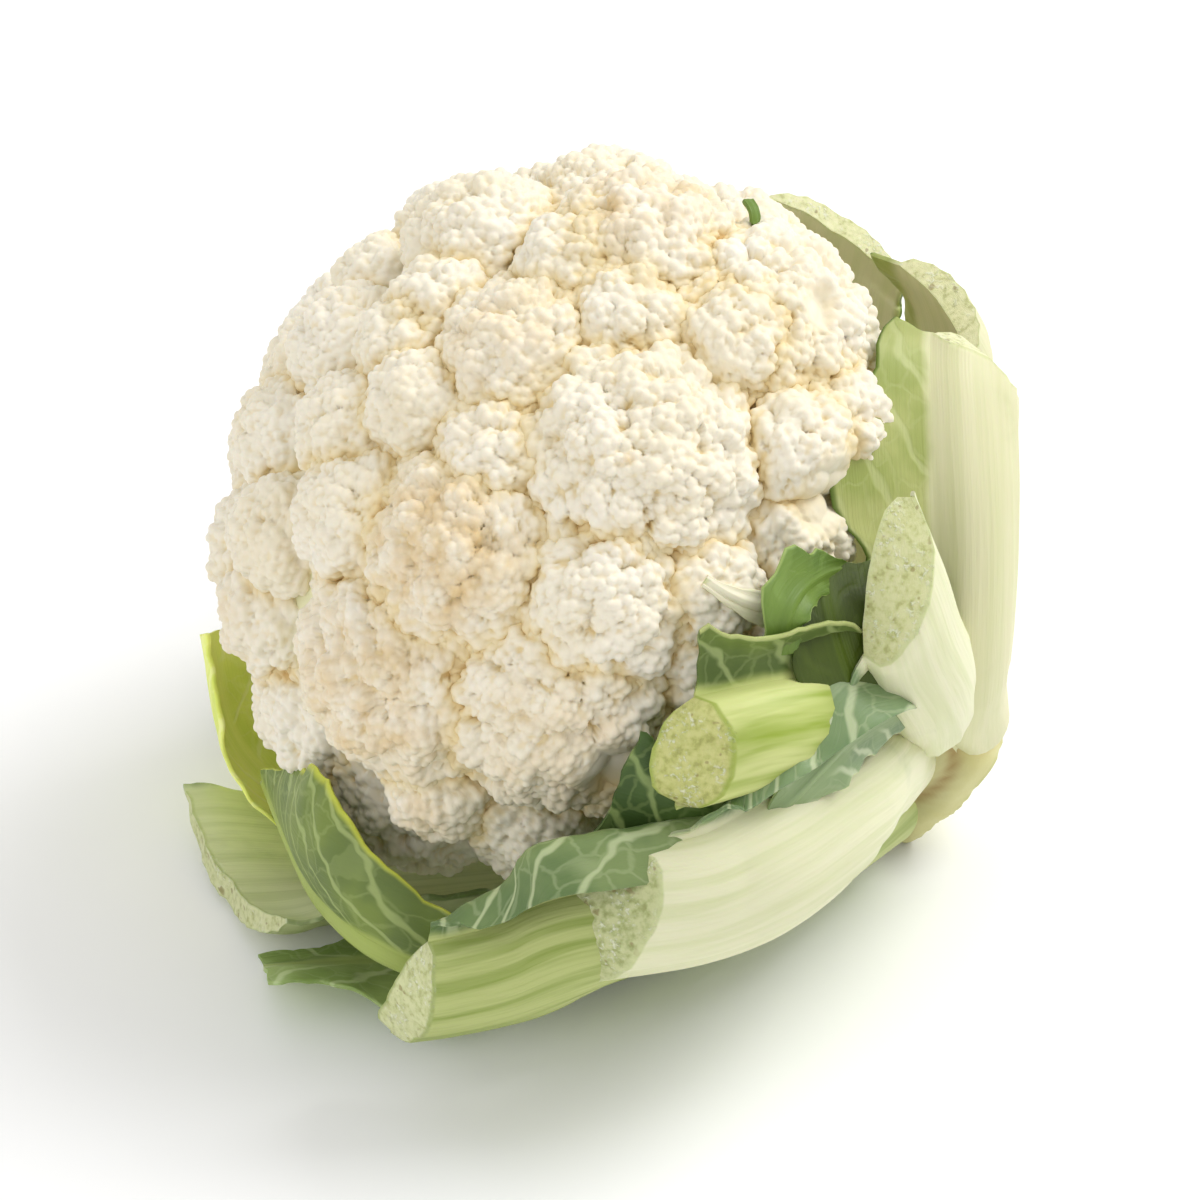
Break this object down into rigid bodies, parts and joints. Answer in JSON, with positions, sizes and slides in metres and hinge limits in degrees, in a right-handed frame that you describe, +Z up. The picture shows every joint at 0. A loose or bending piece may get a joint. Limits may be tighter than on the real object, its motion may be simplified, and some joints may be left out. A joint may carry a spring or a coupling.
{
  "type": "cauliflower",
  "caption": "Fresh cauliflower lying tipped on its side: ivory head of tight lobed florets cupped by thick trimmed green leaves with cut ends, stump at the right.",
  "frame": {"origin": "on the table, under the middle of the plant's bounding box", "axes": "+Z up; the front of the picture faces -Y and its right is +X; the crown points to -X and up, the stump to +X and down"},
  "size_m": [0.1796, 0.2033, 0.1626],
  "materials": {
    "curd_flesh": "matte, beaded ivory curd",
    "stump_flesh": "matte, moist cut stalk",
    "leaf_stalk": "satin, waxy pale green midrib",
    "leaf_blade": "satin, veined green blade",
    "young_leaf": "satin, bright yellow-green blade"
  },
  "bodies": {
    "root": {"curd": "curd_flesh", "stump": "stump_flesh", "leaf_front": "leaf_stalk", "leaf_right": "leaf_stalk", "leaf_low": "leaf_stalk", "leaf_inner_right": "leaf_stalk", "leaf_inner_front": "leaf_stalk", "leaf_under_front": "leaf_blade", "leaf_left_front": "leaf_blade", "leaf_left_flat": "leaf_stalk", "leaf_left_low": "leaf_blade", "leaf_left_bright": "young_leaf", "leaf_back_low": "leaf_stalk", "leaf_back": "leaf_stalk", "leaf_back_high": "leaf_stalk", "leaf_back_side": "leaf_stalk"}
  },
  "joints": []
}
